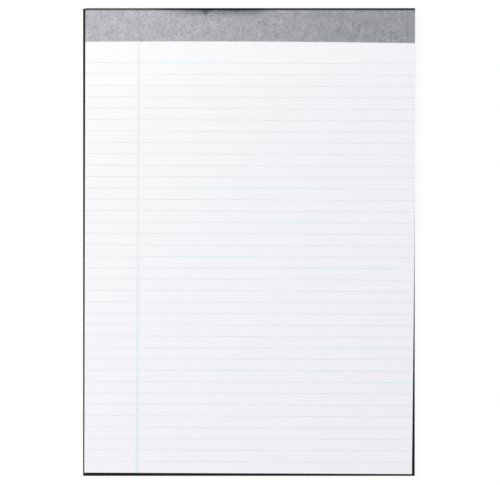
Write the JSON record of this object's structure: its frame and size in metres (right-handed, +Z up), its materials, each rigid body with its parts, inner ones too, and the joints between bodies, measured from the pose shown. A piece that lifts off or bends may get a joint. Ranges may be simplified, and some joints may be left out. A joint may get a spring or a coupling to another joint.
{
  "type": "legal pad",
  "caption": "Head-bound writing pad: ruled sheets with a left margin on a dark backing board, stitched and wrapped at the head with grey binding tape.",
  "frame": {"origin": "on the table, under the middle of the pad", "axes": "+X along the rules to the right, +Y from the foot to the bound head, +Z up out of the writing face"},
  "size_m": [0.2106, 0.297, 0.0062],
  "materials": {
    "paper": "uncoated white writing paper, matt",
    "board": "charcoal pulp board, matt, with fine fibres",
    "tape": "grey mottled leather-grain binding paper, low sheen",
    "wire": "galvanised stitching wire",
    "rule_ink": "pale blue ruling ink, soaked into the paper",
    "margin_ink": "pale blue ruling ink, soaked into the paper"
  },
  "bodies": {
    "root": {"sheet_block": "paper", "backing_board": "board", "binding_tape": "tape", "wire_stitches": "wire", "rule_lines": "rule_ink", "margin_lines": "margin_ink"}
  },
  "joints": []
}
